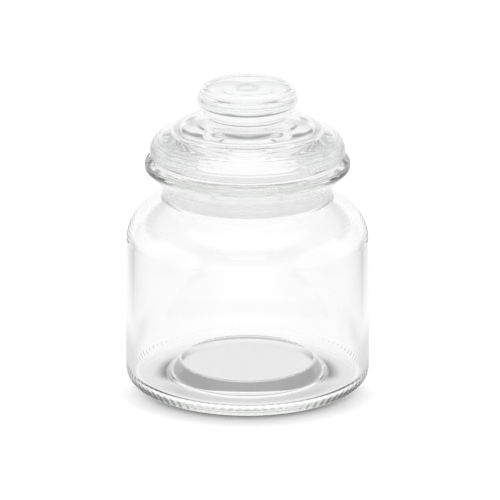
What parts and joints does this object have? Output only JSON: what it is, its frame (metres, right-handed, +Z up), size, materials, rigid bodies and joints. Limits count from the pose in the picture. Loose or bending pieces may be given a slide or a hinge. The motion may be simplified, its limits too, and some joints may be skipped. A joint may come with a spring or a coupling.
{
  "type": "apothecary jar",
  "caption": "Clear glass storage jar with a straight body, round shoulder and flared lip, closed by a hollow glass stopper lid with a round knob and a finned plastic seal.",
  "frame": {"origin": "middle of the underside, on the surface that the jar stands on", "axes": "+Z up along the jar's axis, -Y towards the viewer"},
  "size_m": [0.1006, 0.1006, 0.1275],
  "materials": {
    "jar_glass": "clear polished soda glass with a faint green-grey tint",
    "lid_glass": "clear pressed glass, fire polished, slightly wavy",
    "seal_plastic": "translucent soft plastic, satin"
  },
  "bodies": {
    "jar": {"jar_body": "jar_glass"},
    "seal": {"lid_seal": "seal_plastic"},
    "lid": {"lid": "lid_glass"}
  },
  "joints": [
    {"name": "lid_lift", "type": "slide", "parent": "jar", "child": "seal", "axis": [0, 0, 1], "range_m": [0, 0.05]},
    {"name": "lid_turn", "type": "hinge", "parent": "seal", "child": "lid", "pos_m": [0, 0, 0.092], "axis": [0, 0, 1], "continuous": true}
  ]
}
